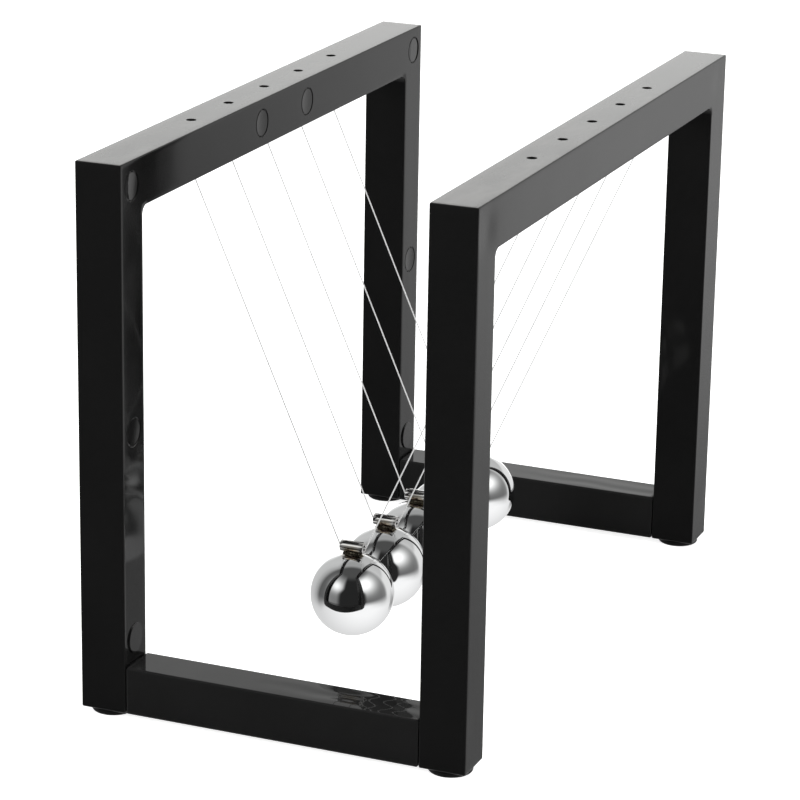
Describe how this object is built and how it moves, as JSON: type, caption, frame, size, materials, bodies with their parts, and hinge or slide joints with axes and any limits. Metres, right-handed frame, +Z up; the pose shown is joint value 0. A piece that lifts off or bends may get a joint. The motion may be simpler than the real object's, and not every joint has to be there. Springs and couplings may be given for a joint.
{
  "type": "newton's cradle",
  "caption": "Desk pendulum toy: polished steel balls hang on V-shaped threads between black moulded arches joined by crossbars, and pass on each other's swing.",
  "frame": {"origin": "on the ground, at the centre of the footprint of the four feet", "axes": "+X from the left arch to the right arch, +Y along the rails from the front to the rear, +Z up"},
  "size_m": [0.1, 0.183, 0.1375],
  "materials": {
    "black_plastic": "glossy black moulded plastic",
    "foot_rubber": "matt black rubber",
    "polished_steel": "mirror-polished chromed steel",
    "tube_steel": "bright drawn steel tube",
    "brazed_steel": "brazed steel with heat tint",
    "nylon_thread": "translucent white nylon"
  },
  "bodies": {
    "frame": {"left_arch": "black_plastic", "right_arch": "black_plastic", "front_crossbar": "black_plastic", "rear_crossbar": "black_plastic", "foot_front_left": "foot_rubber", "foot_front_right": "foot_rubber", "foot_rear_left": "foot_rubber", "foot_rear_right": "foot_rubber", "thread_knot_left_1": "nylon_thread", "thread_knot_left_2": "nylon_thread", "thread_knot_left_3": "nylon_thread", "thread_knot_left_4": "nylon_thread", "thread_knot_left_5": "nylon_thread", "thread_knot_right_1": "nylon_thread", "thread_knot_right_2": "nylon_thread", "thread_knot_right_3": "nylon_thread", "thread_knot_right_4": "nylon_thread", "thread_knot_right_5": "nylon_thread"},
    "pendulum_1": {"ball_1": "polished_steel", "hanger_stud_1": "brazed_steel", "hanger_tube_1": "tube_steel", "thread_1": "nylon_thread"},
    "pendulum_2": {"ball_2": "polished_steel", "hanger_stud_2": "brazed_steel", "hanger_tube_2": "tube_steel", "thread_2": "nylon_thread"},
    "pendulum_3": {"ball_3": "polished_steel", "hanger_stud_3": "brazed_steel", "hanger_tube_3": "tube_steel", "thread_3": "nylon_thread"},
    "pendulum_4": {"ball_4": "polished_steel", "hanger_stud_4": "brazed_steel", "hanger_tube_4": "tube_steel", "thread_4": "nylon_thread"},
    "pendulum_5": {"ball_5": "polished_steel", "hanger_stud_5": "brazed_steel", "hanger_tube_5": "tube_steel", "thread_5": "nylon_thread"}
  },
  "joints": [
    {"name": "swing_1", "type": "hinge", "parent": "frame", "child": "pendulum_1", "pos_m": [0, -0.0422, 0.1253], "axis": [-1, 0, 0], "range_deg": [0, 60]},
    {"name": "swing_2", "type": "hinge", "parent": "frame", "child": "pendulum_2", "pos_m": [0, -0.0211, 0.1253], "axis": [-1, 0, 0], "range_deg": [-0.04, 0.04]},
    {"name": "swing_3", "type": "hinge", "parent": "frame", "child": "pendulum_3", "pos_m": [0, 0, 0.1253], "axis": [-1, 0, 0], "range_deg": [-0.04, 0.04]},
    {"name": "swing_4", "type": "hinge", "parent": "frame", "child": "pendulum_4", "pos_m": [0, 0.0211, 0.1253], "axis": [-1, 0, 0], "range_deg": [-0.04, 0.04]},
    {"name": "swing_5", "type": "hinge", "parent": "frame", "child": "pendulum_5", "pos_m": [0, 0.0422, 0.1253], "axis": [1, 0, 0], "range_deg": [0, 60]}
  ]
}
